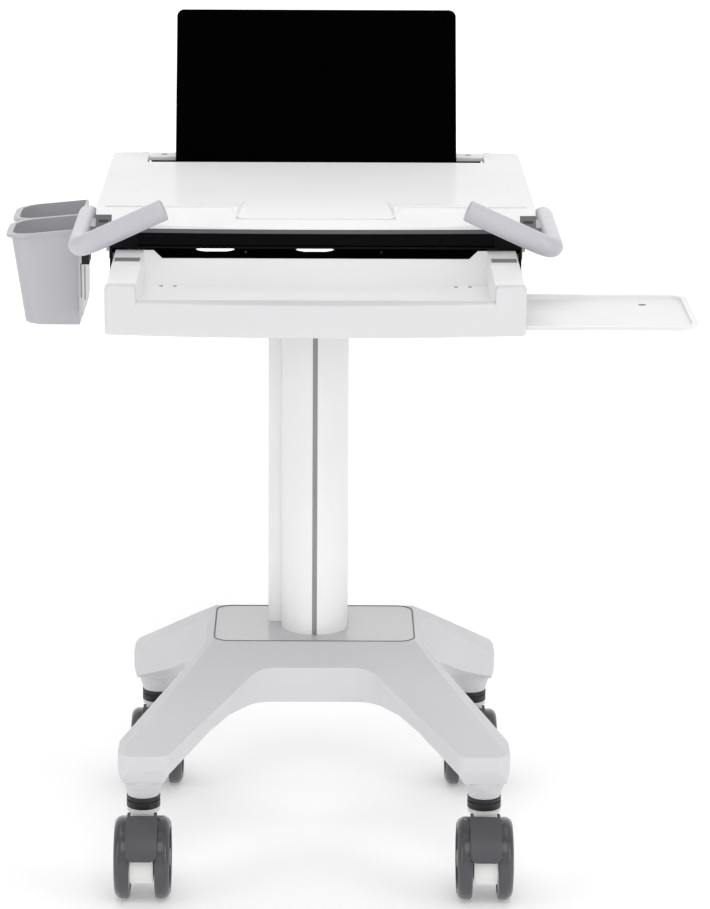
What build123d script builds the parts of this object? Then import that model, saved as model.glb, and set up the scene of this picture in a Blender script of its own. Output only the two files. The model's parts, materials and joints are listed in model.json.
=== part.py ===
from build123d import *
import os
from math import cos, radians, sin, sqrt

# A mobile medication cart. Four twin-wheel casters carry a moulded four-legged base. A telescopic
# column carries a head with a laptop compartment, a lifting worktop, a pull-out drawer with a side
# tray, two handles and two bins. Millimetres. The origin is on the floor, midway between the caster
# stems. X points to the user's right, Y away from the user, Z up.

# Casters
STEM_X = 207.0
STEM_Y = 205.5
TRAIL = 28.0
WHEEL_R = 50.0
HUB_R = 43.0
WHEEL_INNER = 15.5
WHEEL_OUTER = 34.0
AXLE_R = 4.0
TREAD_SHOULDER = 10.0
STEM_R = 6.0
STEM_TOP = 150.0
RUNNING = 0.05
FORK_HALF = 14.0
NECK_R = 20.0
NECK_TOP = 106.6
PEDAL_R = 57.5
PEDAL_THICK = 4.0
PEDAL_HALF = 19.0
PEDAL_LOW = 14.0
PEDAL_HIGH = 80.0
PEDAL_ARM = 48.0
PEDAL_ARM_HALF = 6.0
PEDAL_TRAVEL = 12.0

# Base
RING_R = 20.5
RING_LOW = 107.2
RING_TOP = 121.0
SLEEVE_R = 12.0
SLEEVE_TOP = 165.0
COLLAR_R = 26.0
COLLAR_TOP = 144.0
HUB_TOP = 274.0
SKIN = 3.0
PLATE_HALF_X = 124.0
PLATE_Y0 = -73.0
PLATE_Y1 = 77.0
PLATE_THICK = 3.0
FRAME_TOP = 262.0

# Column
COLUMN_R = 41.7
COLUMN_ARC_Y = -4.8
COLUMN_BACK = 45.0
COLUMN_WALL = 5.0
COLUMN_TOP = 690.0
GROOVE_HALF = 3.0
GROOVE_DEPTH = 3.0
MAST_INSET = 7.0
MAST_WALL = 3.0
MAST_FOOT = 330.0
HEAD_PLATE_LOW = 727.5

# Head
HEAD_FLOOR = 735.5
SHEET = 2.4
HEAD_HALF = 240.0
HEAD_FRONT = -214.5
HOUSING_BACK = 12.0
SHELF_Z = 797.0
SHELF_TOP = 799.2
WALL_TOP = 815.3
TRIM_LOW = 815.8
TOP_LOW = 820.9
TOP_Z = 843.3
TOP_HALF = 256.0
TOP_BACK = 179.0
BEAD_Y = -196.0
TOP_FRONT_END = -214.0
TOP_FRONT_MIDDLE = -222.0
BEVEL_FOOT_Y = -223.0
NOTCH_HALF = 211.0
NOTCH_FRONT = 108.0
NOTCH_SLANT = 10.0
RAIL_FRONT = 149.0
HINGE_Y = 184.5
HINGE_Z = 837.5
HINGE_R = 5.0
PANEL_HALF = 208.0
LEVER_Y = -112.0
LEVER_Z = 721.0
LATCH_LOW = 823.0
LATCH_TOP = 834.6
LATCH_SLOT = 828.8
REAR_SLOTS = ((-148.0, -99.0), (-25.0, 23.0))
REAR_SLOT_Z = 751.6
BOLT_Y = (-160.0, -115.0)
BOLT_Z = 788.0

# Drawer
DRAWER_HALF = 233.0
ARM_INNER = 200.2
ARM_TOP = 794.7
FASCIA_HALF = 234.9
FASCIA_LOW = 739.3
FASCIA_MIDDLE_TOP = 776.5
FASCIA_INNER = -405.0
FASCIA_END = -421.0
FASCIA_BOW = -437.0
TUB_LOW = 751.0
FLOOR_TOP = TUB_LOW + SHEET
TUB_BACK = -211.6
ARM_END = -205.0
SLIDE_LOW = 768.0
SLIDE_TOP = 788.0
BACK_DIP = 785.0
SCREW_SPOTS = ((-180.0, -221.0), (-164.0, -221.0))
SCREW_R = 2.2
STRIP_Y0 = -280.6
STRIP_Y1 = -260.4
STRIP_GROOVES = (-276.5, -272.5, -268.5, -264.5)

# Side tray
TRAY_X0 = 160.0
TRAY_X1 = 430.0
TRAY_Y0 = -403.8
TRAY_Y1 = -229.6
TRAY_LOW = 741.3
TRAY_TOP = 747.5
TRAY_FLANGE = 5.0

# Handles
TUBE_R = 12.5
TUBE_WALL = 2.0
HANDLE_X = -274.0
HANDLE_Z = 806.3
HANDLE_Y = -264.5
HANDLE_BACK = -61.0
GRIP_TIP_X = -174.0
GRIP_TIP_Z = 852.3
BEND_R = 26.0
CAP_LENGTH = 5.0

# Bins and their rail
BIN_INNER_X = -284.6
BIN_TOP_X = -370.0
BIN_BOTTOM_X = -352.0
BIN_Y0 = -88.6
BIN_PITCH = 100.7
BIN_WIDTH = 98.5
BIN_LOW = 678.0
BIN_RIM_INNER = 795.5
BIN_RIM_OUTER = 786.8
BIN_WALL = 2.6
BIN_CORNER = 28.0
BIN_LIP = 3.4
BIN_LIP_SIDE = 0.9
BIN_LIP_DEEP = 5.0
RAIL_X0 = -284.0
RAIL_X1 = -279.5
RAIL_FRONT_END = -101.6
RAIL_BACK_END = 24.0
RAIL_SLOT_PITCH = 12.0

# Laptop
PIVOT_Y = 100.5
PIVOT_Z = 813.0
LEAN = 23.9
LID_HALF = 175.4
LID_LENGTH = 229.0
LID_HALF_THICK = 3.0


def block(x0, x1, y0, y1, z0, z1):
    """A box between two corners."""
    return Pos((x0 + x1) / 2, (y0 + y1) / 2, (z0 + z1) / 2) * Box(x1 - x0, y1 - y0, z1 - z0)


def rounded_block(x0, x1, y0, y1, z0, z1, radius):
    """A box with rounded upright edges."""
    return fillet(block(x0, x1, y0, y1, z0, z1).edges().filter_by(Axis.Z), radius)


def pillar(x, y, radius, z0, z1):
    """An upright cylinder."""
    return Pos(x, y, (z0 + z1) / 2) * Cylinder(radius, z1 - z0)


def bar_x(y, z, radius, x0, x1):
    """A cylinder along X."""
    return Pos((x0 + x1) / 2, y, z) * Rot(0, 90, 0) * Cylinder(radius, x1 - x0)


def bar_y(x, z, radius, y0, y1):
    """A cylinder along Y."""
    return Pos(x, (y0 + y1) / 2, z) * Rot(90, 0, 0) * Cylinder(radius, y1 - y0)


def prism_x(points, x0, x1):
    """A polygon of (y, z) points extruded along X."""
    face = make_face(Polyline([(x0, y, z) for y, z in points], close=True))
    return extrude(face, amount=x1 - x0, dir=(1, 0, 0))


def prism_y(points, y0, y1):
    """A polygon of (x, z) points extruded along Y."""
    face = make_face(Polyline([(x, y0, z) for x, z in points], close=True))
    return extrude(face, amount=y1 - y0, dir=(0, 1, 0))


def prism_z(points, z0, z1):
    """A polygon of (x, y) points extruded upwards."""
    face = make_face(Polyline([(x, y, z0) for x, y in points], close=True))
    return extrude(face, amount=z1 - z0, dir=(0, 0, 1))


def both_sides(shape):
    """A shape and its mirror image on the other side of the cart."""
    return [shape, mirror(shape, about=Plane.YZ)]


def four_corners(shape):
    """A shape made for one corner, at all four."""
    return both_sides(shape) + both_sides(mirror(shape, about=Plane.XZ))


def save(node, *pieces):
    """Write one node; separate solids stay separate."""
    solids = [solid for piece in pieces for solid in piece.solids()]
    export_step(solids[0] if len(solids) == 1 else Compound(children=solids), f"parts/{node}.step")


# Casters


def ray(y, angle, reach, rise):
    """A (y, z) point along a direction from the axle, raised at right angles to it."""
    along = radians(angle)
    return (y - reach * cos(along) + rise * sin(along), WHEEL_R + reach * sin(along) + rise * cos(along))


def brake_slot(x, y):
    """Room inside the fork for the brake arm and its travel."""
    low = PEDAL_ARM - PEDAL_TRAVEL
    half = PEDAL_ARM_HALF + 0.5
    sweep_room = [ray(y, low, 0, -half), ray(y, low, 80, -half)]
    sweep_room += [ray(y, PEDAL_ARM, 80, half), ray(y, PEDAL_ARM, 0, half)]
    room = prism_x(sweep_room, x - 3.3, x + 3.3)
    return room + bar_x(y, WHEEL_R, 9.4, x - 3.3, x + 3.3)


def caster_fork(x, y):
    """Swivel body: stem, neck and the block between the wheels, slotted for the brake arm."""
    axle_y = y - TRAIL
    body = bar_x(axle_y, WHEEL_R, 45.0, x - FORK_HALF, x + FORK_HALF)
    body -= block(x - 20, x + 20, axle_y - 60, axle_y + 60, -5, 32)
    body += block(x - FORK_HALF, x + FORK_HALF, y - 17.5, y + 15, 66, NECK_TOP - 4)
    body += pillar(x, y, NECK_R, NECK_TOP - 5, NECK_TOP)
    body += pillar(x, y, STEM_R, NECK_TOP - 1, STEM_TOP)
    body -= bar_x(axle_y, WHEEL_R, AXLE_R + RUNNING, x - 20, x + 20)
    return body - brake_slot(x, axle_y)


def tyre(x, y, side):
    """Tread ring of one wheel, rounded more on its outer face."""
    inner = x + side * WHEEL_INNER
    outer = x + side * WHEEL_OUTER
    ring = bar_x(y, WHEEL_R, WHEEL_R, min(inner, outer), max(inner, outer))
    rims = ring.edges().filter_by(GeomType.CIRCLE).sort_by(Axis.X)
    ring = fillet(rims[-1 if side > 0 else 0], TREAD_SHOULDER)
    rims = ring.edges().filter_by(GeomType.CIRCLE).sort_by(Axis.X)
    ring = fillet(rims[0 if side > 0 else -1], 3.0)
    return ring - bar_x(y, WHEEL_R, HUB_R, x - 60, x + 60)


def wheel_pair(x, y):
    """Two dished hubs on their turning axle."""
    hubs = bar_x(y, WHEEL_R, AXLE_R, x - WHEEL_OUTER + 2, x + WHEEL_OUTER - 2)
    for side in (-1, 1):
        faces = sorted((x + side * (WHEEL_INNER + 1), x + side * (WHEEL_OUTER - 1)))
        hubs += bar_x(y, WHEEL_R, HUB_R, faces[0], faces[1])
        dish = sorted((x + side * (WHEEL_OUTER - 3), x + side * (WHEEL_OUTER + 2)))
        hubs -= bar_x(y, WHEEL_R, 37.0, dish[0], dish[1]) - bar_x(y, WHEEL_R, 11.0, x - 60, x + 60)
    return hubs


def pedal(x, y):
    """Brake pedal: a curved tread plate on an arm that turns about the wheel axle."""
    inner = PEDAL_R - PEDAL_THICK
    reach = 2 * PEDAL_R
    sector = [(y, WHEEL_R)]
    for angle in (PEDAL_LOW, PEDAL_ARM, PEDAL_HIGH):
        sector.append((y - reach * cos(radians(angle)), WHEEL_R + reach * sin(radians(angle))))
    plate = bar_x(y, WHEEL_R, PEDAL_R, x - PEDAL_HALF, x + PEDAL_HALF)
    plate -= bar_x(y, WHEEL_R, inner, x - 30, x + 30)
    plate &= prism_x(sector, x - 30, x + 30)
    corners = [edge for edge in plate.edges() if edge.length < PEDAL_THICK + 0.5]
    plate = fillet(corners, 9.0)
    arm = Pos(x, y, WHEEL_R) * Rot(-PEDAL_ARM, 0, 0) * block(
        -3, 3, -(inner + 1), -6, -PEDAL_ARM_HALF, PEDAL_ARM_HALF
    )
    hub = bar_x(y, WHEEL_R, 9.0, x - 3, x + 3)
    wedge = [(y, WHEEL_R), ray(y, PEDAL_HIGH - 10, reach, 0), ray(y, PEDAL_HIGH + 9, reach, 0)]
    ear = bar_x(y, WHEEL_R, PEDAL_R, x + 14, x + PEDAL_HALF - 1)
    ear -= bar_x(y, WHEEL_R, inner, x - 30, x + 30)
    ear &= prism_x(wedge, x, x + 30)
    plate += ear + mirror(ear, about=Plane(origin=(x, y, 0), x_dir=(0, 1, 0), z_dir=(1, 0, 0)))
    return plate + arm + hub - bar_x(y, WHEEL_R, AXLE_R + RUNNING, x - 5, x + 5)


def casters():
    for front, y in (("front", -STEM_Y), ("rear", STEM_Y)):
        for side, x in (("left", -STEM_X), ("right", STEM_X)):
            name = f"caster_{front}_{side}"
            save(f"{name}_fork", caster_fork(x, y))
            save(f"{name}_wheels", wheel_pair(x, y - TRAIL))
            save(f"{name}_tyres", tyre(x, y - TRAIL, -1), tyre(x, y - TRAIL, 1))
            save(f"{name}_pedal", pedal(x, y - TRAIL))


# Base


def mirrored(points):
    """A left-to-right outline completed from its right half."""
    return [(-u, v) for u, v in reversed(points)] + points


def base_form(inset):
    """Outside of the moulded base, or with an inset, the hollow inside it."""
    quarter = [(67, 116), (177, 235.5), (237, 235.5), (237, 175.5), (136, 62)]
    right = [(x, -y) for x, y in quarter] + [(x, y) for x, y in reversed(quarter)]
    plan = make_face(Polyline([(x, y, 0) for x, y in mirrored(right)], close=True))
    ends = [v for v in plan.vertices() if abs(v.X) > 170]
    plan = fillet(ends, 16.0)
    waists = [v for v in plan.vertices() if abs(v.X) < 150]
    plan = fillet(waists, 40.0)
    if inset:
        plan = offset(plan, amount=-inset)
    body = Pos(0, 0, 100) * extrude(plan, amount=200, dir=(0, 0, 1))
    drop = 1.2 * inset
    side = 237 - inset
    across = [(126, HUB_TOP - drop), (side, 178 - drop), (side, 160), (side - 4.5, COLLAR_TOP)]
    body &= prism_y(mirrored(across + [(side - 4.5, 90)]), -250, 250)
    end = 235.5 - inset
    along = [(79, HUB_TOP - drop), (116, 253 - drop), (end, 179 - drop), (end, 160)]
    along += [(end - 4.5, COLLAR_TOP), (end - 4.5, 90)]
    front = [(-75 if y == 79 else -y, z) for y, z in reversed(along)]
    return body & prism_x(front + along, -260, 260)


def base_arches(grow):
    """What is cut from under the base so that it stands on its four leg ends."""
    arch = [(82, 209), (104, 205), (126, 193), (174, 156), (181, COLLAR_TOP), (181, 90)]
    side = [(60, 201), (96, 192), (125, 172), (178, COLLAR_TOP + 1), (178, 90)]
    arch = mirrored([(x + grow, z + grow) for x, z in arch])
    side = mirrored([(y + grow, z + grow) for y, z in side])
    low = block(-260, 260, -260, 260, 60, COLLAR_TOP + grow)
    return prism_y(arch, -260, 260) + prism_x(side, -260, 260) + low


def base_shroud():
    """Moulded hollow cover of hub and legs, with a ledge for the cover plate."""
    outer = base_form(0) - base_arches(0)
    shell = outer - (base_form(SKIN) - base_arches(SKIN))
    rim = block(-PLATE_HALF_X - 1, PLATE_HALF_X + 1, PLATE_Y0 - 1, PLATE_Y1 + 1, HUB_TOP - 8, HUB_TOP)
    shell += rim & outer
    shell -= rounded_block(-112, 112, PLATE_Y0 + 11, PLATE_Y1 - 11, HUB_TOP - 20, HUB_TOP + 5, 14)
    shell -= rounded_block(
        -PLATE_HALF_X - 1.3, PLATE_HALF_X + 1.3, PLATE_Y0 - 0.8, PLATE_Y1 + 0.8,
        HUB_TOP - PLATE_THICK, HUB_TOP + 5, 20.6,
    )
    for hole in four_corners(pillar(STEM_X, STEM_Y, SLEEVE_R, 100, 150)):
        shell -= hole
    return shell


def frame_arm():
    """Sloping steel arm from the hub down to one caster socket, along the diagonal."""
    side = [(60, 256), (150, 240), (280, 186), (280, 158), (200, 199), (150, 221), (60, 232)]
    arm = Rot(0, 0, -45) * prism_x(side, -16, 16)
    boss = pillar(STEM_X, STEM_Y, 22, 148, 176)
    return arm + boss - pillar(STEM_X, STEM_Y, SLEEVE_R, 140, SLEEVE_TOP)


def base():
    ring = pillar(STEM_X, STEM_Y, RING_R, RING_LOW, RING_TOP)
    ring += pillar(STEM_X, STEM_Y, SLEEVE_R, RING_TOP, SLEEVE_TOP)
    ring -= pillar(STEM_X, STEM_Y, STEM_R + RUNNING, 100, STEM_TOP + 1)
    ring -= pillar(STEM_X, STEM_Y, 30, 115, 117) - pillar(STEM_X, STEM_Y, RING_R - 1.2, 115, 117)
    save("caster_sockets", *four_corners(ring))
    height = COLLAR_TOP - RING_TOP
    cone = Pos(STEM_X, STEM_Y, RING_TOP + height / 2) * Cone(RING_R - 1, COLLAR_R, height)
    cone -= pillar(STEM_X, STEM_Y, SLEEVE_R, 100, 160)
    save("leg_collars", *four_corners(cone))
    frame = block(-95, 95, -60, 64, 226, FRAME_TOP)
    frame -= block(-87, 87, -52, 56, 220, FRAME_TOP - 8)
    for arm in four_corners(frame_arm()):
        frame += arm
    save("base_frame", frame)
    save("base_shroud", base_shroud())
    plate = rounded_block(
        -PLATE_HALF_X, PLATE_HALF_X, PLATE_Y0, PLATE_Y1, HUB_TOP - PLATE_THICK, HUB_TOP, 19.4
    )
    save("base_cover_plate", plate - column_form(0, 200, 300))


# Column


def column_form(inset, z0, z1):
    """Column section: half round in front, square at the back."""
    radius = COLUMN_R - inset
    back = COLUMN_BACK - inset
    return pillar(0, COLUMN_ARC_Y, radius, z0, z1) + block(-radius, radius, COLUMN_ARC_Y, back, z0, z1)


def column():
    front = COLUMN_ARC_Y - COLUMN_R
    groove = block(-GROOVE_HALF, GROOVE_HALF, front - 1, front + GROOVE_DEPTH, 200, 800)
    tube = column_form(0, FRAME_TOP, COLUMN_TOP) - column_form(COLUMN_WALL, 200, 800)
    save("column_outer", tube - groove)
    strip = block(-GROOVE_HALF, GROOVE_HALF, front + 0.8, front + GROOVE_DEPTH, HUB_TOP, COLUMN_TOP - 2)
    save("column_groove_strip", strip)
    mast = column_form(MAST_INSET, MAST_FOOT, HEAD_PLATE_LOW)
    mast -= column_form(MAST_INSET + MAST_WALL, 200, 800)
    save("column_inner", mast)
    wall = COLUMN_R - COLUMN_WALL
    gap = MAST_INSET - COLUMN_WALL - 0.1
    pads = both_sides(block(-wall, -wall + gap, 4, 34, 640, 684))
    back = COLUMN_BACK - COLUMN_WALL
    pads += both_sides(block(-28, -12, back - gap, back, 640, 684))
    save("column_glides", *pads)
    cylinder = pillar(0, 0, 14, FRAME_TOP, 640) - pillar(0, 0, 11, FRAME_TOP + 6, 630)
    save("gas_spring_cylinder", cylinder - pillar(0, 0, 5 + RUNNING, 620, 650))
    rod = pillar(0, 0, 5, 290, HEAD_PLATE_LOW) + pillar(0, 0, 10.5, 285, 297)
    save("gas_spring_rod", rod)
    duct = block(-58.2, -COLUMN_R, 8.5, 52, HUB_TOP, COLUMN_TOP - 5)
    duct = fillet(duct.edges().filter_by(Axis.Z).sort_by(Axis.X)[:2], 7)
    duct -= block(-56, -COLUMN_R + 1, 11, 49.5, HUB_TOP - 1, COLUMN_TOP)
    save("cable_duct", duct)


# Head


def pointed_slot(x0, x1, z):
    """Long slot with pointed ends through the rear wall."""
    upper = [(x0, z), (x0 + 4, z + 1.7), (x0 + 11, z + 2.8), (x1 - 11, z + 2.8), (x1 - 4, z + 1.7)]
    lower = [(x1, z), (x1 - 4, z - 1.7), (x1 - 11, z - 2.8), (x0 + 11, z - 2.8), (x0 + 4, z - 1.7)]
    return prism_y(upper + lower, HOUSING_BACK - 10, HOUSING_BACK + 10)


def housing():
    """Black box round the drawer: floor, sides, rear wall; its front is open."""
    box = block(-HEAD_HALF, HEAD_HALF, HEAD_FRONT, HOUSING_BACK, HEAD_FLOOR, SHELF_Z)
    inner = HEAD_HALF - SHEET
    box -= block(-inner, inner, HEAD_FRONT - 1, HOUSING_BACK - SHEET, HEAD_FLOOR + SHEET, SHELF_Z + 1)
    for x0, x1 in REAR_SLOTS:
        box -= pointed_slot(x0, x1, REAR_SLOT_Z)
    box -= block(inner - 1, HEAD_HALF + 1, HEAD_FRONT - 1, -18, HEAD_FLOOR + SHEET, TUB_LOW + 0.8)
    for y in BOLT_Y:
        box -= bar_x(y, BOLT_Z, 2.5, -HEAD_HALF - 5, -inner + 1) + bar_x(y, BOLT_Z, 2.5, inner - 1, 245)
    return box


def compartment():
    """Black tray for the laptop under the worktop, closed at the sides and the back."""
    tray = block(-HEAD_HALF, HEAD_HALF, HEAD_FRONT, TOP_BACK - 0.5, SHELF_Z, WALL_TOP)
    inner = HEAD_HALF - SHEET
    tray -= block(-inner, inner, -200, TOP_BACK - 3, SHELF_TOP, WALL_TOP + 1)
    tray -= block(-PANEL_HALF, PANEL_HALF, HEAD_FRONT - 1, -199, SHELF_TOP, WALL_TOP + 1)
    tray += block(-209, 209, TOP_BACK - 3, TOP_BACK - 0.5, WALL_TOP - 1, 838)
    leaf = bar_x(HINGE_Y, HINGE_Z, HINGE_R, 212, 220.5) + bar_x(HINGE_Y, HINGE_Z, 2.5, 212, 244)
    leaf += block(212, 220.5, HINGE_Y - 4, HINGE_Y + 4, SHELF_TOP, HINGE_Z)
    leaf += block(212, 220.5, TOP_BACK - 1, HINGE_Y, SHELF_TOP, WALL_TOP - 3)
    for side in both_sides(leaf):
        tray += side
    return tray


def front_panel():
    """Dark glossy strip along the front of the laptop compartment."""
    panel = block(-PANEL_HALF, PANEL_HALF, HEAD_FRONT, HEAD_FRONT + 4, SHELF_TOP, WALL_TOP)
    low = panel.edges().filter_by(Axis.X).group_by(Axis.Z)[0].sort_by(Axis.Y)[0]
    return chamfer(low, 2.0)


def top_outline(inset):
    """Plan of the worktop with its bowed front edge."""
    half = TOP_HALF - inset
    end = TOP_FRONT_END + inset
    middle = TOP_FRONT_MIDDLE + inset
    back = TOP_BACK - inset
    front = ThreePointArc((-half, end, 0), (0, middle, 0), (half, end, 0))
    rest = Polyline((half, end, 0), (half, back, 0), (-half, back, 0), (-half, end, 0))
    plan = make_face(front + rest)
    plan = fillet([v for v in plan.vertices() if v.Y > 0], 12.0)
    return fillet([v for v in plan.vertices() if v.Y < 0], 6.0)


def bevel_y(z):
    """Y of the sloping front face of the worktop at a height."""
    return BEAD_Y + (BEVEL_FOOT_Y - BEAD_Y) * (TOP_Z - z) / (TOP_Z - TOP_LOW)


def notch(z0, z1):
    """Opening at the back of the worktop that the laptop lid stands in."""
    rear = [(NOTCH_FRONT, TOP_Z), (NOTCH_FRONT - NOTCH_SLANT, TOP_LOW), (NOTCH_FRONT - NOTCH_SLANT, z0)]
    rear += [(TOP_BACK + 5, z0), (TOP_BACK + 5, z1), (NOTCH_FRONT, z1)]
    return prism_x(rear, -NOTCH_HALF, NOTCH_HALF)


def latch_pocket(grow, back):
    """Space of the left latch at the end of the sloping front face."""
    return block(-TOP_HALF - grow, -238 + grow, -230, back, LATCH_LOW - grow, LATCH_TOP + grow)


def worktop():
    """Lifting worktop: hollow below, sloping front face, hand grip, laptop notch, latch pockets."""
    body = Pos(0, 0, TOP_LOW) * extrude(top_outline(0), amount=TOP_Z - TOP_LOW, dir=(0, 0, 1))
    slope = [(BEAD_Y, TOP_Z), (BEVEL_FOOT_Y, TOP_LOW), (-240, TOP_LOW), (-240, 850), (BEAD_Y, 850)]
    body -= prism_x(slope, -270, 270)
    body -= block(-244, 244, -138, NOTCH_FRONT - 20, TOP_LOW - 1, TOP_Z - 5)
    scoop = [(-151, TOP_Z), (-208.5, 831), (-240, 824.3), (-240, 850), (-151, 850)]
    sides = [(-82.5, -151), (82.5, -151), (96, -225), (96, -240), (-96, -240), (-96, -225)]
    body -= prism_x(scoop, -110, 110) & prism_z(sides, 800, 860)
    for shape in both_sides(latch_pocket(0.4, -197)) + both_sides(pillar(-222, -95, 9, TOP_Z - 0.6, 850)):
        body -= shape
    body -= notch(780, 860)
    knuckle = bar_x(HINGE_Y, HINGE_Z, HINGE_R, 222, 246)
    knuckle += block(222, 246, TOP_BACK - 2, HINGE_Y, HINGE_Z - 4, HINGE_Z + 4)
    knuckle -= bar_x(HINGE_Y, HINGE_Z, 2.5 + RUNNING, 200, 260)
    for side in both_sides(knuckle):
        body += side
    return body


def latch():
    """Left latch button: a metal block with a dark slot, flush with the sloping face."""
    body = latch_pocket(0, -200)
    slope = [(bevel_y(850), 850), (bevel_y(815), 815), (-240, 815), (-240, 850)]
    body -= prism_x(slope, -270, -230)
    return body - block(-252.5, -241.5, -230, bevel_y(LATCH_SLOT) + 2.5, LATCH_SLOT - 1.4, LATCH_SLOT + 1.4)


def edge_trim():
    """Grey lip under the edge of the worktop."""
    height = TOP_LOW - TRIM_LOW
    ring = extrude(top_outline(1.5), amount=height, dir=(0, 0, 1))
    ring -= extrude(top_outline(4.5), amount=height, dir=(0, 0, 1))
    return Pos(0, 0, TRIM_LOW) * ring - notch(780, 860)


def rear_rail():
    """White rail behind the laptop lid."""
    rail = block(-210, 210, RAIL_FRONT, TOP_BACK - 0.5, 838, TOP_Z)
    front = rail.edges().filter_by(Axis.X).group_by(Axis.Z)[-1].sort_by(Axis.Y)[0]
    rail = fillet(front, 2.0)
    return rail - pillar(-192, 165, 3.5, 840.5, 850) - pillar(192, 165, 3.5, 840.5, 850)


def head():
    plate = rounded_block(-120, 120, -108, 60, HEAD_PLATE_LOW, HEAD_FLOOR, 10)
    for x0, x1 in ((53, 59), (111, 117)):
        plate += block(x0, x1, LEVER_Y - 8, LEVER_Y + 10, 716, HEAD_FLOOR)
    plate -= block(59, 111, -125, -100, HEAD_PLATE_LOW - 1, HEAD_FLOOR - 3)
    save("head_plate", plate - bar_x(LEVER_Y, LEVER_Z, 2.5 + RUNNING, 50, 120))
    save("drawer_housing", housing())
    save("laptop_compartment", compartment())
    save("front_panel", front_panel())
    save("worktop", worktop())
    save("worktop_edge_trim", edge_trim())
    save("rear_rail", rear_rail())
    left, right = both_sides(latch())
    save("latch_left", left)
    save("latch_right", right)
    lever = rounded_block(60, 110, -190, -118, LEVER_Z - 3, LEVER_Z + 3, 8)
    lever += block(60, 110, -130, LEVER_Y, LEVER_Z - 3, LEVER_Z + 3)
    lever += bar_x(LEVER_Y, LEVER_Z, 5, 60, 110) + bar_x(LEVER_Y, LEVER_Z, 2.5, 54, 116)
    save("height_lever", lever)


# Handles


def handle_points():
    """Corner, grip direction and the two ends of the bend of the left handle."""
    corner = Vector(HANDLE_X, HANDLE_Y, HANDLE_Z)
    tip = Vector(GRIP_TIP_X, HANDLE_Y, GRIP_TIP_Z)
    grip = (tip - corner).normalized()
    leg = Vector(0, 1, 0)
    return corner, tip, grip, leg


def handle():
    """Bent tube of the left handle."""
    corner, tip, grip, leg = handle_points()
    bend_start = corner + leg * BEND_R
    bend_end = corner + grip * BEND_R
    middle = corner + (leg + grip) * (BEND_R * (1 - sqrt(0.5)))
    start = Vector(HANDLE_X, HANDLE_BACK, HANDLE_Z)
    end = tip - grip * CAP_LENGTH
    bend = ThreePointArc(bend_start, middle, bend_end)
    path = Wire([Line(start, bend_start), bend, Line(bend_end, end)])
    section = Plane(origin=start, z_dir=(0, -1, 0)) * (Circle(TUBE_R) - Circle(TUBE_R - TUBE_WALL))
    return sweep(section, path=path)


def handle_cap():
    """Plug in the grip end of the left handle and in the end of its leg."""
    corner, tip, grip, leg = handle_points()
    place = Plane(origin=tip - grip * CAP_LENGTH, z_dir=grip)
    front = place * Pos(0, 0, CAP_LENGTH / 2) * Cylinder(TUBE_R, CAP_LENGTH)
    front = fillet(front.edges().filter_by(GeomType.CIRCLE).sort_by(Axis.X)[-1], 2.0)
    back = bar_y(HANDLE_X, HANDLE_Z, TUBE_R, HANDLE_BACK, HANDLE_BACK + 4)
    return front, back


def bracket():
    """Left handle bracket: saddle on the tube, flange under the worktop, foot on the housing."""
    pad = block(-265, -256.8, -180, -128, 803, 816)
    flange = block(-260, -HEAD_HALF, -180, -95, 803, 806)
    foot = block(-243, -HEAD_HALF, -180, -95, 778, 806)
    body = pad + flange + foot + block(-259.6, -256.8, -130, -120, 803, 816)
    body -= bar_y(HANDLE_X, HANDLE_Z, TUBE_R, -200, -80)
    for y in BOLT_Y:
        body -= bar_x(y, BOLT_Z, 2.5, -250, -238)
    return body


def handles():
    left, right = both_sides(handle())
    save("handle_left", left)
    save("handle_right", right)
    save("handle_caps", *[cap for piece in handle_cap() for cap in both_sides(piece)])
    save("handle_brackets", *both_sides(bracket()))
    bolts = []
    for y in BOLT_Y:
        bolt = bar_x(y, BOLT_Z, 5.0, -247, -243) + bar_x(y, BOLT_Z, 2.5, -244, -238)
        bolts += both_sides(bolt)
    save("head_screws", *bolts, *both_sides(pillar(-192, 165, 3.5, 840.5, 844.0)))


# Drawer


def drawer_body():
    """White drawer: hollow side arms, floor and rear wall."""
    body = block(-DRAWER_HALF, DRAWER_HALF, FASCIA_INNER, TUB_BACK, TUB_LOW, TUB_LOW + SHEET)
    wall = block(-DRAWER_HALF, DRAWER_HALF, TUB_BACK - SHEET, TUB_BACK, TUB_LOW, ARM_TOP)
    dip = [(-190, ARM_TOP + 1), (-179, BACK_DIP), (179, BACK_DIP), (190, ARM_TOP + 1)]
    body += wall - prism_y(dip, -230, -200)
    arm = block(-DRAWER_HALF, -ARM_INNER, FASCIA_INNER, ARM_END, TUB_LOW, ARM_TOP)
    arm -= block(
        -DRAWER_HALF + SHEET, -ARM_INNER - SHEET, FASCIA_INNER + 3, ARM_END - 3,
        TUB_LOW + SHEET, ARM_TOP - SHEET,
    )
    arm -= block(-DRAWER_HALF + 2, -ARM_INNER - 2, STRIP_Y0, STRIP_Y1, ARM_TOP - 1, ARM_TOP + 1)
    for x, y in SCREW_SPOTS:
        body -= pillar(x, y, SCREW_R, FLOOR_TOP - 1.2, FLOOR_TOP + 1)
        body -= pillar(-x, y, SCREW_R, FLOOR_TOP - 1.2, FLOOR_TOP + 1)
    for side in both_sides(arm):
        body += side
    return body


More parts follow.
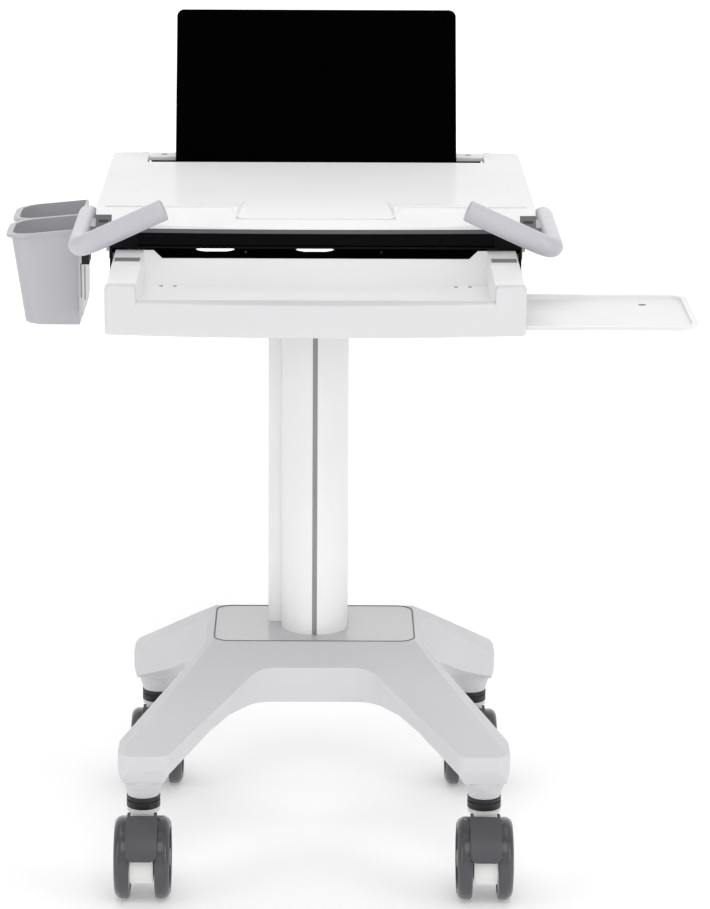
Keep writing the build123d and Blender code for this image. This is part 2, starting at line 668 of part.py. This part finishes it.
def fascia():
    """Bowed drawer front, lower between the arms."""
    half = FASCIA_HALF
    front = ThreePointArc((-half, FASCIA_END, 0), (0, FASCIA_BOW, 0), (half, FASCIA_END, 0))
    rest = Polyline(
        (half, FASCIA_END, 0), (half, FASCIA_INNER, 0), (-half, FASCIA_INNER, 0), (-half, FASCIA_END, 0)
    )
    height = ARM_TOP - FASCIA_LOW
    body = Pos(0, 0, FASCIA_LOW) * extrude(make_face(front + rest), amount=height, dir=(0, 0, 1))
    body = fillet(body.edges().filter_by(Axis.Z).group_by(Axis.Y)[0], 6.0)
    return body - block(-ARM_INNER, ARM_INNER, -450, -400, FASCIA_MIDDLE_TOP, ARM_TOP + 1)


def side_tray():
    """Shallow tray that slides out to the right under the drawer floor."""
    body = block(TRAY_X0, TRAY_X1, TRAY_Y0, TRAY_Y1, TRAY_TOP - 1.5, TRAY_TOP)
    corners = body.edges().filter_by(Axis.Z)
    body = fillet([e for e in corners if e.center().X > TRAY_X1 - 1], 20)
    x1 = TRAY_X1 - TRAY_FLANGE
    y0 = TRAY_Y0 + TRAY_FLANGE
    y1 = TRAY_Y1 - TRAY_FLANGE
    tub = block(TRAY_X0, x1, y0, y1, TRAY_LOW, TRAY_TOP)
    tub = fillet([e for e in tub.edges().filter_by(Axis.Z) if e.center().X > x1 - 1], 16)
    space = block(TRAY_X0 + 2, x1 - 2, y0 + 2, y1 - 2, TRAY_LOW + 1.8, TRAY_TOP + 1)
    space = fillet([e for e in space.edges().filter_by(Axis.Z) if e.center().X > x1 - 3], 14)
    return body + tub - space - pillar(377, -267, 4.7, 700, 800)


def drawer():
    save("drawer_body", drawer_body())
    save("drawer_fascia", fascia())
    strip = block(-DRAWER_HALF + 2, -ARM_INNER - 2, STRIP_Y0, STRIP_Y1, ARM_TOP - 1, ARM_TOP + 0.4)
    for y in STRIP_GROOVES:
        strip -= block(-DRAWER_HALF, -ARM_INNER, y - 0.8, y + 0.8, ARM_TOP - 0.5, ARM_TOP + 1)
    save("arm_groove_strips", *both_sides(strip))
    screws = []
    for x, y in SCREW_SPOTS:
        screws += both_sides(pillar(x, y, SCREW_R, FLOOR_TOP - 1.2, FLOOR_TOP + 0.8))
    save("drawer_screws", *screws)
    save("slides_outer", *both_sides(block(-237.6, -236.1, -196, 8, SLIDE_LOW, SLIDE_TOP)))
    save("slides_middle", *both_sides(block(-235.9, -234.5, -300, -105, SLIDE_LOW + 2, SLIDE_TOP - 2)))
    save("slides_inner", *both_sides(block(-234.3, -233, -400, ARM_END, SLIDE_LOW, SLIDE_TOP)))
    save("side_tray", side_tray())
    rear = block(-60, 230, TRAY_Y1 + 0.5, TRAY_Y1 + 5.6, TRAY_LOW, TUB_LOW)
    rear += block(-60, 230, TRAY_Y1 - 4.5, TRAY_Y1 + 1, TRAY_LOW, TRAY_TOP - 2)
    front = block(-60, 230, FASCIA_INNER, TRAY_Y0 + 4.5, TRAY_LOW, TRAY_TOP - 2)
    save("side_tray_guides", rear, front)


# Bins


def bin_form(y0, inset):
    """Tapered bin body; with an inset, the space inside it."""
    low = BIN_LOW + inset
    points = [(BIN_INNER_X - inset, low), (BIN_BOTTOM_X + inset, low)]
    points += [(BIN_TOP_X + inset, BIN_RIM_INNER + 3), (BIN_INNER_X - inset, BIN_RIM_INNER + 3)]
    body = prism_y(points, y0 + inset, y0 + BIN_WIDTH - inset)
    outer = [e for e in body.edges() if e.center().X < -350 and abs(e.tangent_at(0.5).Y) < 0.1]
    return fillet(outer, BIN_CORNER - inset)


def bin_lip(y0):
    """Turned-out lip round the sloping rim, clear of the rail."""
    lip = block(
        BIN_TOP_X - BIN_LIP, BIN_INNER_X - 2, y0 - BIN_LIP_SIDE, y0 + BIN_WIDTH + BIN_LIP_SIDE, 760, 815
    )
    lip = fillet(lip.edges().filter_by(Axis.Z).sort_by(Axis.X)[:2], BIN_CORNER)
    band = [(BIN_INNER_X, BIN_RIM_INNER + 3), (BIN_TOP_X - 6, BIN_RIM_OUTER + 3)]
    band += [(BIN_TOP_X - 6, BIN_RIM_OUTER - BIN_LIP_DEEP), (BIN_INNER_X, BIN_RIM_INNER - BIN_LIP_DEEP)]
    return (lip & prism_y(band, y0 - 5, y0 + BIN_WIDTH + 5)) - bin_form(y0, BIN_WALL)


def bin_body(y0):
    """One open bin with its lip, cut off along the sloping rim."""
    body = bin_form(y0, 0) - bin_form(y0, BIN_WALL) + bin_lip(y0)
    rim = [(BIN_INNER_X + 5, BIN_RIM_INNER), (BIN_TOP_X, BIN_RIM_OUTER)]
    rim += [(BIN_TOP_X - 10, BIN_RIM_OUTER - 1), (BIN_TOP_X - 10, 810), (BIN_INNER_X + 5, 810)]
    return body - prism_y(rim, y0 - 5, y0 + BIN_WIDTH + 5)


def bins():
    save("bin_front", bin_body(BIN_Y0))
    save("bin_rear", bin_body(BIN_Y0 + BIN_PITCH))
    rail = block(RAIL_X0, RAIL_X1, RAIL_FRONT_END, RAIL_BACK_END, 691, 790)
    for i in range(int((RAIL_BACK_END - RAIL_FRONT_END) / RAIL_SLOT_PITCH)):
        y = RAIL_FRONT_END + 6.6 + RAIL_SLOT_PITCH * i
        rail -= block(RAIL_X1 - 1.2, RAIL_X1 + 1, y - 1.5, y + 1.5, 680, 800)
    save("bin_rail", rail)
    clamp = block(RAIL_X1, -270.4, -118, -91, 758, 801) + block(RAIL_X1, -270.4, -92, -78, 758, 798)
    save("bin_clamp", clamp - bar_y(HANDLE_X, HANDLE_Z, TUBE_R, -125, -70))


# Laptop


def lean(shape):
    """Places a piece drawn upright about the lid pivot, leaning back."""
    return Pos(0, PIVOT_Y, PIVOT_Z) * Rot(-LEAN, 0, 0) * shape


def laptop():
    thick = LID_HALF_THICK
    lid = block(-LID_HALF, LID_HALF, -thick, thick, 6, LID_LENGTH)
    lid = fillet(lid.edges().filter_by(Axis.Y), 9)
    lid -= block(-164, 164, -thick - 1, -thick + 1, 18, LID_LENGTH - 10)
    for side in (-1, 1):
        near, far = sorted((side * 100, side * 160))
        lid += bar_x(0, 0, 4.5, near, far)
        lid += block(near, far, -2, 2, 0, 8)
        lid += bar_x(0, 0, 2, near - 4, far + 4)
    save("laptop_lid", lean(lid))
    save("laptop_screen", lean(block(-164, 164, -thick + 0.2, -thick + 1, 18, LID_LENGTH - 10)))
    base_block = rounded_block(-173, 173, -135, 92, SHELF_TOP, 812, 8)
    for side in (-1, 1):
        for x in (97.5, 162.5):
            lug = block(side * x - 2, side * x + 2, 90, PIVOT_Y + 4, 806, PIVOT_Z + 4)
            base_block += lug - bar_x(PIVOT_Y, PIVOT_Z, 2 + RUNNING, side * x - 5, side * x + 5)
    save("laptop_base", base_block)
    rows = [block(-150, 150, y, y + 16, 812, 813.4) for y in (-30, -11, 8, 27, 46)]
    save("laptop_keyboard", *rows)


os.makedirs("parts", exist_ok=True)
casters()
base()
column()
head()
handles()
drawer()
bins()
laptop()
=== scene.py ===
import json
from math import cos, pi, radians, sin

import bmesh
import bpy
from mathutils import Matrix, Vector

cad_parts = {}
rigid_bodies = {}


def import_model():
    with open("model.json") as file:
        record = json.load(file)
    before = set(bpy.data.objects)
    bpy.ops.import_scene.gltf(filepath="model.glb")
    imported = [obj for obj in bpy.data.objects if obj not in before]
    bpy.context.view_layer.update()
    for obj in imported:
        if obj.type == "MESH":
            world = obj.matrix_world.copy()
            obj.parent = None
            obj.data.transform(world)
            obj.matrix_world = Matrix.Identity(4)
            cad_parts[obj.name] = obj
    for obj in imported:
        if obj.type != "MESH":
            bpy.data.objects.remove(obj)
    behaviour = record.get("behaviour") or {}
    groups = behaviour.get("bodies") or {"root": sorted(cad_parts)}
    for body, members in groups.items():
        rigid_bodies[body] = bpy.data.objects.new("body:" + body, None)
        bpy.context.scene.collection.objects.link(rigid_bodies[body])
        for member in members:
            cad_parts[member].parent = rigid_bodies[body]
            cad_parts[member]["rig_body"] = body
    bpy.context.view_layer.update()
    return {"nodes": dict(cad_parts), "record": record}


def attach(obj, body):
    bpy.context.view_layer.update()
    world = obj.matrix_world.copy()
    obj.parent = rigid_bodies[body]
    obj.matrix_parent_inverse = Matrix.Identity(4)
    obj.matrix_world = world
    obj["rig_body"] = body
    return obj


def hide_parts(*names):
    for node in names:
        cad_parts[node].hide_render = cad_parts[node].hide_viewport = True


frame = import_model()
nodes = frame["nodes"]

# Camera: the viewing angle and distance of the reference, in metres and degrees
CAMERA_PLACE = (0.0, -4.2696, 1.5983)
CAMERA_TILT = 75.5
CAMERA_LENS = 140.3
CAMERA_ROLL = 0.2
CAMERA_SHIFT = 0.044


# ---- Materials ----

# Noise scales per metre, and the depth of the fine relief in metres
DRIFT_SCALE = 9.0
DRIFT_DETAIL = 5.0
HANDLING_SCALE = 38.0
HANDLING_DETAIL = 6.0
GRAIN_DETAIL = 3.0
RELIEF_DEPTH = 0.0004


def node_tree(name):
    """A new material with its shader node and a maker for more nodes."""
    material = bpy.data.materials.new(name)
    material.use_nodes = True
    tree = material.node_tree
    shader = tree.nodes["Principled BSDF"]
    return material, tree, shader


def noise(tree, scale, detail, stretch=(1.0, 1.0, 1.0)):
    """Noise in the object's own space, stretched along an axis for brushed or drawn surfaces."""
    where = tree.nodes.new("ShaderNodeTexCoord")
    mapping = tree.nodes.new("ShaderNodeMapping")
    mapping.inputs["Scale"].default_value = stretch
    texture = tree.nodes.new("ShaderNodeTexNoise")
    texture.inputs["Scale"].default_value = scale
    texture.inputs["Detail"].default_value = detail
    tree.links.new(where.outputs["Object"], mapping.inputs["Vector"])
    tree.links.new(mapping.outputs["Vector"], texture.inputs["Vector"])
    return texture.outputs["Fac"]


def ramp(tree, factor, low, high, start=0.3, end=0.7):
    """Two colours mixed by a factor."""
    node = tree.nodes.new("ShaderNodeValToRGB")
    node.color_ramp.elements[0].position = start
    node.color_ramp.elements[0].color = (*low, 1.0)
    node.color_ramp.elements[1].position = end
    node.color_ramp.elements[1].color = (*high, 1.0)
    tree.links.new(factor, node.inputs["Fac"])
    return node.outputs["Color"]


def spread(tree, factor, low, high):
    """A factor spread between two values."""
    node = tree.nodes.new("ShaderNodeMapRange")
    node.inputs["From Min"].default_value = 0.3
    node.inputs["From Max"].default_value = 0.7
    node.inputs["To Min"].default_value = low
    node.inputs["To Max"].default_value = high
    tree.links.new(factor, node.inputs["Value"])
    return node.outputs["Result"]


def bump(tree, shader, height, strength):
    """Fine relief from a height."""
    node = tree.nodes.new("ShaderNodeBump")
    node.inputs["Strength"].default_value = strength
    node.inputs["Distance"].default_value = RELIEF_DEPTH
    tree.links.new(height, node.inputs["Height"])
    tree.links.new(node.outputs["Normal"], shader.inputs["Normal"])


def finish_of(
    name, colour, rough, mottle, grain, relief, metal=0.0, shine=0.5, stretch=(1, 1, 1), glow=0.0
):
    """A material with slow colour drift, uneven gloss and fine surface grain."""
    material, tree, shader = node_tree(name)
    dark = tuple(c * (1.0 - mottle) for c in colour)
    light = tuple(min(1.0, c * (1.0 + mottle)) for c in colour)
    drift = noise(tree, DRIFT_SCALE, DRIFT_DETAIL)
    tree.links.new(ramp(tree, drift, dark, light), shader.inputs["Base Color"])
    handling = noise(tree, HANDLING_SCALE, HANDLING_DETAIL, stretch)
    tree.links.new(spread(tree, handling, rough * 0.88, rough * 1.14), shader.inputs["Roughness"])
    fine = noise(tree, grain, GRAIN_DETAIL, stretch)
    bump(tree, shader, fine, relief)
    shader.inputs["Metallic"].default_value = metal
    shader.inputs["Specular IOR Level"].default_value = shine
    shader.inputs["Emission Color"].default_value = (1.0, 1.0, 1.0, 1.0)
    shader.inputs["Emission Strength"].default_value = glow
    return material


FINISHES = {
    "wheel_grey": dict(colour=(0.074, 0.073, 0.082), rough=0.22, mottle=0.06, grain=700, relief=0.02),
    "fork_white": dict(colour=(0.80, 0.80, 0.79), rough=0.38, mottle=0.02, grain=800, relief=0.06),
    "pedal_dark": dict(colour=(0.075, 0.074, 0.084), rough=0.44, mottle=0.08, grain=900, relief=0.14),
    "socket_dark": dict(
        colour=(0.022, 0.021, 0.026), rough=0.42, mottle=0.10, grain=800, relief=0.10, shine=0.4,
    ),
    "base_grey": dict(colour=(0.69, 0.69, 0.71), rough=0.44, mottle=0.015, grain=1100, relief=0.06),
    "plate_grey": dict(
        colour=(0.60, 0.60, 0.615), rough=0.24, mottle=0.015, grain=600, relief=0.02, shine=0.6,
    ),
    "steel_frame": dict(colour=(0.06, 0.06, 0.065), rough=0.55, mottle=0.08, grain=500, relief=0.20),
    "column_white": dict(
        colour=(0.95, 0.95, 0.95), rough=0.38, mottle=0.01, grain=420, relief=0.03, stretch=(1, 1, 0.15),
    ),
    # Groove insert: partly its own dark colour, partly painted shade of the groove
    "groove_dark": dict(colour=(0.30, 0.30, 0.305), rough=0.5, mottle=0.06, grain=900, relief=0.08),
    "mast_metal": dict(
        colour=(0.62, 0.62, 0.63), rough=0.33, mottle=0.03, grain=900, relief=0.08,
        metal=1.0, stretch=(1, 1, 0.04),
    ),
    "spring_steel": dict(
        colour=(0.48, 0.48, 0.49), rough=0.30, mottle=0.05, grain=900, relief=0.10,
        metal=1.0, stretch=(1, 0.05, 1),
    ),
    "duct_white": dict(colour=(0.96, 0.96, 0.96), rough=0.42, mottle=0.01, grain=900, relief=0.04),
    "housing_black": dict(
        colour=(0.003, 0.003, 0.0035), rough=0.50, mottle=0.15, grain=420, relief=0.12, shine=0.12,
    ),
    "panel_dark": dict(
        colour=(0.002, 0.002, 0.003), rough=0.30, mottle=0.08, grain=500, relief=0.02, shine=0.07,
    ),
    "top_white": dict(
        colour=(0.90, 0.90, 0.905), rough=0.16, mottle=0.008, grain=700, relief=0.006, shine=0.003,
    ),
    "trim_grey": dict(colour=(0.12, 0.12, 0.125), rough=0.45, mottle=0.05, grain=800, relief=0.08),
    "latch_metal": dict(colour=(0.10, 0.10, 0.105), rough=0.36, mottle=0.06, grain=800, relief=0.06),
    "handle_grey": dict(colour=(0.56, 0.56, 0.60), rough=0.30, mottle=0.01, grain=480, relief=0.015),
    "bracket_grey": dict(
        colour=(0.36, 0.36, 0.37), rough=0.38, mottle=0.08, grain=480, relief=0.12, metal=0.6,
    ),
    "screw_steel": dict(
        colour=(0.40, 0.40, 0.41), rough=0.32, mottle=0.08, grain=900, relief=0.06, metal=1.0,
    ),
    "drawer_white": dict(colour=(0.93, 0.93, 0.935), rough=0.36, mottle=0.008, grain=800, relief=0.03),
    # The drawer's own white plastic, darkened with painted shade because the fascia faces slightly down
    "fascia_white_painted_shade": dict(colour=(0.72, 0.72, 0.73), rough=0.34, mottle=0.008, grain=800, relief=0.03),
    # Dark strips: partly their own dark colour, partly painted shade of the grooves they sit in
    "strip_grey": dict(colour=(0.26, 0.26, 0.265), rough=0.60, mottle=0.06, grain=900, relief=0.12),
    "tray_white": dict(colour=(0.87, 0.87, 0.875), rough=0.36, mottle=0.01, grain=850, relief=0.03),
    "bin_grey": dict(colour=(0.50, 0.50, 0.525), rough=0.38, mottle=0.015, grain=900, relief=0.05),
    "rail_metal": dict(
        colour=(0.55, 0.55, 0.56), rough=0.32, mottle=0.04, grain=900, relief=0.10,
        metal=1.0, stretch=(1, 1, 0.05),
    ),
    "clamp_black": dict(
        colour=(0.012, 0.012, 0.014), rough=0.48, mottle=0.12, grain=800, relief=0.12, shine=0.3,
    ),
    "laptop_black": dict(
        colour=(0.0006, 0.0006, 0.0006), rough=0.45, mottle=0.12, grain=900, relief=0.02, shine=0.004,
    ),
    "screen_black": dict(
        colour=(0.0005, 0.0005, 0.0005), rough=0.30, mottle=0.20, grain=120, relief=0.01, shine=0.002,
    ),
    "keys_black": dict(
        colour=(0.006, 0.006, 0.0065), rough=0.52, mottle=0.12, grain=900, relief=0.12, shine=0.2,
    ),
}
MATERIALS = {name: finish_of(name, **finish) for name, finish in FINISHES.items()}
SLOT_OF = {entry["node"]: entry["material_slot"] for entry in frame["record"]["subparts"]}


def dress(obj, slot):
    """Gives an object one of the materials."""
    obj.data.materials.clear()
    obj.data.materials.append(MATERIALS[slot])


for name, node in nodes.items():
    dress(node, SLOT_OF[name])


# ---- Pieces made from the CAD shapes, with their edges softened ----

# Points closer than this many metres are joined, and faces within this many degrees are flat together
WELD_DISTANCE = 0.00002
FLAT_ANGLE = 1.0


def soften(name, width, steps=3, angle=32.0, slot=None):
    """Stands for a CAD node with the same shape and rounded edges."""
    slot = slot or SLOT_OF[name]
    mesh = nodes[name].data.copy()
    clean = bmesh.new()
    clean.from_mesh(mesh)
    bmesh.ops.remove_doubles(clean, verts=clean.verts, dist=WELD_DISTANCE)
    bmesh.ops.dissolve_limit(clean, angle_limit=radians(FLAT_ANGLE), verts=clean.verts, edges=clean.edges)
    for face in clean.faces:
        face.smooth = True
    for edge in clean.edges:
        edge.smooth = True
    clean.to_mesh(mesh)
    clean.free()
    obj = bpy.data.objects.new(name + "_soft", mesh)
    bpy.context.scene.collection.objects.link(obj)
    bevel = obj.modifiers.new("rounding", "BEVEL")
    bevel.width = width
    bevel.segments = steps
    bevel.limit_method = "ANGLE"
    bevel.angle_limit = radians(angle)
    bevel.harden_normals = False
    normals = obj.modifiers.new("normals", "WEIGHTED_NORMAL")
    normals.keep_sharp = True
    dress(obj, slot)
    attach(obj, nodes[name]["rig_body"])
    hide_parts(name)
    return obj


CORNERS = ("front_left", "front_right", "rear_left", "rear_right")
for corner in CORNERS:
    soften(f"caster_{corner}_fork", 0.0015)
    soften(f"caster_{corner}_pedal", 0.0014)
soften("base_shroud", 0.009, steps=5, angle=16.0)
soften("base_cover_plate", 0.0006)
soften("leg_collars", 0.0010)
soften("cable_duct", 0.0008)
soften("worktop", 0.0020, steps=4, angle=20.0)
soften("rear_rail", 0.0010)
soften("drawer_body", 0.0011)
# The fascia takes the drawer white darkened with painted shade
soften("drawer_fascia", 0.0030, steps=4, slot="fascia_white_painted_shade")
soften("side_tray", 0.0006)
soften("laptop_lid", 0.0010)


# ---- Small pieces the CAD leaves out ----

# Places and radii in metres, in the frame's own axes
BEAD_Y = -0.1962
BEAD_Z = 0.8431
BEAD_RADIUS = 0.0012
# The bead's turns: how far from the middle, then how far forward and down from its straight part
BEAD_TURNS = (
    (0.246, 0.0, 0.0),
    (0.1005, 0.0, 0.0),
    (0.0965, 0.0013, 0.0011),
    (0.0935, 0.0093, 0.0086),
    (0.0875, 0.0126, 0.0115),
)
# Line of the dark bead painted as shade in the gap round the cover plate
GAP_X = 0.12465
GAP_FRONT = -0.0734
GAP_BACK = 0.0774
GAP_CORNER = 0.020
GAP_CORNER_STEPS = 6
GAP_Z = 0.2740
GAP_RADIUS = 0.0008
STEM_X = 0.207
STEM_Y = 0.2055
RING_RADIUS = 0.0005
# Name, height and reach of the rings on each leg collar
COLLAR_RINGS = (("upper", 0.1395, 0.0247), ("lower", 0.1345, 0.0232))
# Side and place across the cart of the small screws
REAR_WALL_SCREWS = (("left", -0.086), ("right", 0.0805))
REAR_WALL_SCREW_Z = 0.7487
REAR_WALL_SCREW_Y = (0.0096, 0.0084)
SCREW_HEAD_RADIUS = 0.0016
RAIL_GROOVE_SHADE_RADIUS = 0.0006
# Name, x, y, foot and head of the dark beads painted as the shade of the bin rail's grooves
RAIL_GROOVE_SHADES = (("front", -0.2815, -0.1015, 0.714, 0.756), ("side", -0.2794, -0.064, 0.703, 0.745))
# Place and size of the dark disc painted as shade in the small hole of the side tray
TRAY_HOLE_SHADE_X = 0.377
TRAY_HOLE_SHADE_Y = -0.267
TRAY_HOLE_SHADE_Z = (0.7418, 0.7430)
TRAY_HOLE_SHADE_RADIUS = 0.0045

# A line whose level part is shorter than this, for each metre along it, counts as upright
UPRIGHT_LIMIT = 0.001


def body_of(name):
    """The moving body that a CAD node belongs to."""
    return nodes[name]["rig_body"]


def keep(name, shape, slot, body):
    """Makes a finished shape into a piece that moves with a body."""
    bmesh.ops.recalc_face_normals(shape, faces=shape.faces)
    mesh = bpy.data.meshes.new(name)
    shape.to_mesh(mesh)
    shape.free()
    obj = bpy.data.objects.new(name, mesh)
    bpy.context.scene.collection.objects.link(obj)
    dress(obj, slot)
    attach(obj, body)
    return obj


def ridge(name, points, radius, slot, body, sides=10, closed=False):
    """A thin round bead that follows a line of points."""
    places = [Vector(point) for point in points]
    count = len(places)
    bead = bmesh.new()
    rings = []
    for index, place in enumerate(places):
        before = places[index - 1] if index or closed else place
        after = places[(index + 1) % count] if index < count - 1 or closed else place
        along = (after - before).normalized()
        across = along.cross(Vector((0.0, 0.0, 1.0)))
        across = across.normalized() if across.length > UPRIGHT_LIMIT else Vector((1.0, 0.0, 0.0))
        up = across.cross(along)
        ring = []
        for step in range(sides):
            turn = 2.0 * pi * step / sides
            ring.append(bead.verts.new(place + radius * (across * cos(turn) + up * sin(turn))))
        rings.append(ring)
    pairs = list(zip(rings, rings[1:]))
    if closed:
        pairs.append((rings[-1], rings[0]))
    else:
        bead.faces.new(list(reversed(rings[0])))
        bead.faces.new(rings[-1])
    for first, second in pairs:
        for step in range(sides):
            turned = (step + 1) % sides
            face = bead.faces.new((first[step], first[turned], second[turned], second[step]))
            face.smooth = True
    return keep(name, bead, slot, body)


def circle_points(x, y, z, radius, count=32):
    """Points of a level circle."""
    turns = [2.0 * pi * step / count for step in range(count)]
    return [(x + radius * cos(turn), y + radius * sin(turn), z) for turn in turns]


def bead_points():
    """Line of the worktop bead, the same on both sides of the middle."""
    left = [(-away, BEAD_Y - forward, BEAD_Z - down) for away, forward, down in BEAD_TURNS]
    return left + [(-x, y, z) for x, y, z in reversed(left)]


def gap_points():
    """Middle line of the rounded gap round the cover plate."""
    points = []
    corners = ((GAP_X, GAP_BACK, 0), (-GAP_X, GAP_BACK, 90))
    corners += ((-GAP_X, GAP_FRONT, 180), (GAP_X, GAP_FRONT, 270))
    for x, y, start in corners:
        centre_x = x - GAP_CORNER if x > 0 else x + GAP_CORNER
        centre_y = y - GAP_CORNER if y > 0 else y + GAP_CORNER
        for step in range(GAP_CORNER_STEPS + 1):
            turn = radians(start + 90 * step / GAP_CORNER_STEPS)
            points.append((centre_x + GAP_CORNER * cos(turn), centre_y + GAP_CORNER * sin(turn), GAP_Z))
    return points


# Bead along the front of the worktop, running down round the hand grip
ridge("worktop_bead", bead_points(), BEAD_RADIUS, "top_white", body_of("worktop"))

# Dark bead laid in the gap round the base cover plate: painted shade of the gap
ridge("cover_plate_gap_painted_shade", gap_points(), GAP_RADIUS, "trim_grey", body_of("base_cover_plate"), closed=True)

# Fine rings round the foot of each leg
for side, x in (("left", -STEM_X), ("right", STEM_X)):
    for end, y in (("front", -STEM_Y), ("rear", STEM_Y)):
        for level, z, reach in COLLAR_RINGS:
            ring_line = circle_points(x, y, z, reach)
            name = f"leg_ring_{end}_{side}_{level}"
            ridge(name, ring_line, RING_RADIUS, "base_grey", body_of("leg_collars"), closed=True)

# Two small screw heads low on the rear wall inside the head
for side, x in REAR_WALL_SCREWS:
    screw_line = [(x, y, REAR_WALL_SCREW_Z) for y in REAR_WALL_SCREW_Y]
    name = f"rear_wall_screw_{side}"
    ridge(name, screw_line, SCREW_HEAD_RADIUS, "screw_steel", body_of("drawer_housing"))

# Dark upright beads on the bin rail: painted shade standing for its grooves
for end, x, y, foot, head in RAIL_GROOVE_SHADES:
    name = f"bin_rail_groove_{end}"
    groove_shade_line = [(x, y, foot), (x, y, head)]
    ridge(name, groove_shade_line, RAIL_GROOVE_SHADE_RADIUS, "trim_grey", body_of("bin_rail"))

# Dark disc in the small hole of the side tray: painted shade inside the hole
hole_shade_line = [(TRAY_HOLE_SHADE_X, TRAY_HOLE_SHADE_Y, z) for z in TRAY_HOLE_SHADE_Z]
ridge("side_tray_hole_shade", hole_shade_line, TRAY_HOLE_SHADE_RADIUS, "trim_grey", body_of("side_tray"), sides=20)


# ---- Floor, light and camera ----

FLOOR_HALF_WIDTH = 14.0
# The floor sheet from the front to the back, as (y, z): flat, then curving up
FLOOR_PROFILE = (
    (-12.0, 0.0), (4.0, 0.0), (5.5, 0.15), (6.6, 0.6), (7.3, 1.4), (7.6, 2.6), (7.7, 9.0)
)
CART_MIDDLE = (0.0, 0.0, 0.6)
BACKDROP_TARGET = (0.0, 7.0, 1.5)
# Each light: name, place, what it faces, size in metres and power in watts
LIGHTS = (
    ("key_high", (0.3, -3.6, 4.0), CART_MIDDLE, (3.2, 2.4), 56.0),
    ("top", (0.0, 0.4, 4.6), CART_MIDDLE, (4.0, 3.0), 54.0),
    ("fill_left", (-3.4, -2.0, 1.6), CART_MIDDLE, (1.6, 2.6), 24.0),
    ("fill_right", (3.4, -2.0, 1.6), CART_MIDDLE, (1.6, 2.6), 28.0),
    ("front_low", (0.0, -5.4, 1.6), CART_MIDDLE, (3.4, 2.2), 14.0),
    ("backdrop", (0.0, 3.0, 3.4), BACKDROP_TARGET, (6.0, 2.0), 110.0),
)
WORLD_STRENGTH = 0.42
CAMERA_CLIP_END = 60.0

def build_floor():
    """Pale sheet that curves up behind the cart."""
    sheet = bmesh.new()
    previous = None
    for y, z in FLOOR_PROFILE:
        left = sheet.verts.new((-FLOOR_HALF_WIDTH, y, z))
        right = sheet.verts.new((FLOOR_HALF_WIDTH, y, z))
        if previous:
            sheet.faces.new((previous[0], previous[1], right, left))
        previous = (left, right)
    mesh = bpy.data.meshes.new("studio_floor")
    sheet.to_mesh(mesh)
    sheet.free()
    floor = bpy.data.objects.new("studio_floor", mesh)
    bpy.context.scene.collection.objects.link(floor)
    for face in mesh.polygons:
        face.use_smooth = True
    material = finish_of(
        "floor_white", colour=(0.96, 0.96, 0.96), rough=0.8, mottle=0.004, grain=60, relief=0.02, glow=0.21
    )
    mesh.materials.append(material)


def area_light(name, place, target, size, power):
    """A soft light panel that faces a point."""
    data = bpy.data.lights.new(name, "AREA")
    data.shape = "RECTANGLE"
    data.size, data.size_y = size
    data.energy = power
    light = bpy.data.objects.new(name, data)
    light.location = place
    light.rotation_euler = (Vector(target) - Vector(place)).to_track_quat("-Z", "Y").to_euler()
    bpy.context.scene.collection.objects.link(light)


build_floor()
for light_row in LIGHTS:
    area_light(*light_row)

world = bpy.data.worlds.new("studio")
bpy.context.scene.world = world
world.use_nodes = True
world.node_tree.nodes["Background"].inputs["Color"].default_value = (1.0, 1.0, 1.0, 1.0)
world.node_tree.nodes["Background"].inputs["Strength"].default_value = WORLD_STRENGTH

camera_data = bpy.data.cameras.new("camera")
camera_data.lens = CAMERA_LENS
camera_data.shift_x = CAMERA_SHIFT
camera_data.clip_end = CAMERA_CLIP_END
camera = bpy.data.objects.new("camera", camera_data)
camera.location = CAMERA_PLACE
turned = Matrix.Rotation(radians(CAMERA_TILT), 3, "X") @ Matrix.Rotation(radians(CAMERA_ROLL), 3, "Z")
camera.rotation_euler = turned.to_euler()
bpy.context.scene.collection.objects.link(camera)
bpy.context.scene.camera = camera
bpy.context.scene.view_settings.view_transform = "Standard"
